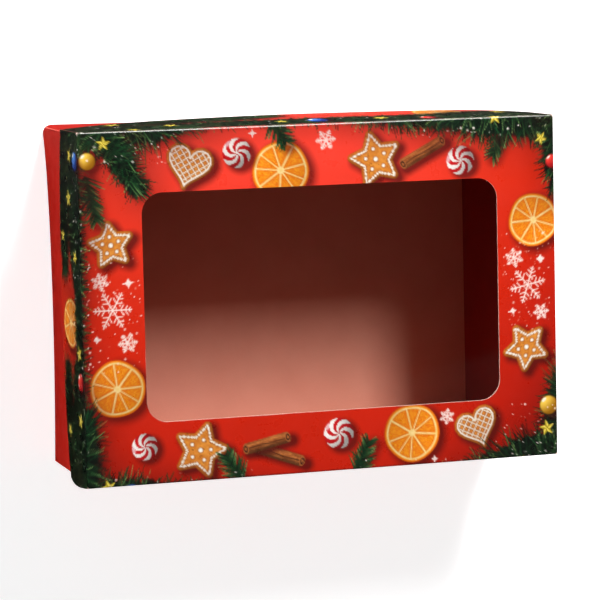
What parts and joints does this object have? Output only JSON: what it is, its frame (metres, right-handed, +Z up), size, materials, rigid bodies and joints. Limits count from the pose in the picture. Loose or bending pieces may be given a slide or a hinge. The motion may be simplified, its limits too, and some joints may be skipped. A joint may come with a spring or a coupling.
{
  "type": "window gift box",
  "caption": "Shallow oblong two-piece folding-card sweet box: a printed lid with a clear film window lifts off a plain red tray with rolled-over ends.",
  "frame": {"origin": "middle of the underside of the base", "axes": "+X along the length, +Y across the width, +Z up through the lid's window"},
  "size_m": [0.213, 0.1536, 0.071],
  "materials": {
    "printed_card": "semi-gloss",
    "red_card": "satin",
    "clear_film": "clear gloss",
    "dry_glue": "satin"
  },
  "bodies": {
    "base": {"base_floor": "red_card", "base_wall_front": "red_card", "base_wall_back": "red_card", "base_end_left": "red_card", "base_end_right": "red_card", "base_rim_left": "red_card", "base_rim_right": "red_card", "base_ear_front_left": "red_card", "base_ear_back_left": "red_card", "base_ear_front_right": "red_card", "base_ear_back_right": "red_card"},
    "lid": {"lid_top_panel": "printed_card", "lid_skirt_front": "printed_card", "lid_skirt_back": "printed_card", "lid_skirt_left": "printed_card", "lid_skirt_right": "printed_card", "lid_ear_front_left": "printed_card", "lid_ear_back_left": "printed_card", "lid_ear_front_right": "printed_card", "lid_ear_back_right": "printed_card", "lid_ear_glue": "dry_glue", "film_glue_line": "dry_glue", "window_film": "clear_film"},
    "end_fold_left": {"inner_end_left": "red_card"},
    "end_fold_right": {"inner_end_right": "red_card"}
  },
  "joints": [
    {"name": "lid_lift", "type": "slide", "parent": "base", "child": "lid", "axis": [0, 0, 1], "range_m": [0, 0.08]},
    {"name": "end_fold_left_hinge", "type": "hinge", "parent": "base", "child": "end_fold_left", "pos_m": [-0.1011, 0, 0.0697], "axis": [0, -1, 0], "range_deg": [0, 75]},
    {"name": "end_fold_right_hinge", "type": "hinge", "parent": "base", "child": "end_fold_right", "pos_m": [0.1011, 0, 0.0697], "axis": [0, 1, 0], "range_deg": [0, 75]}
  ]
}
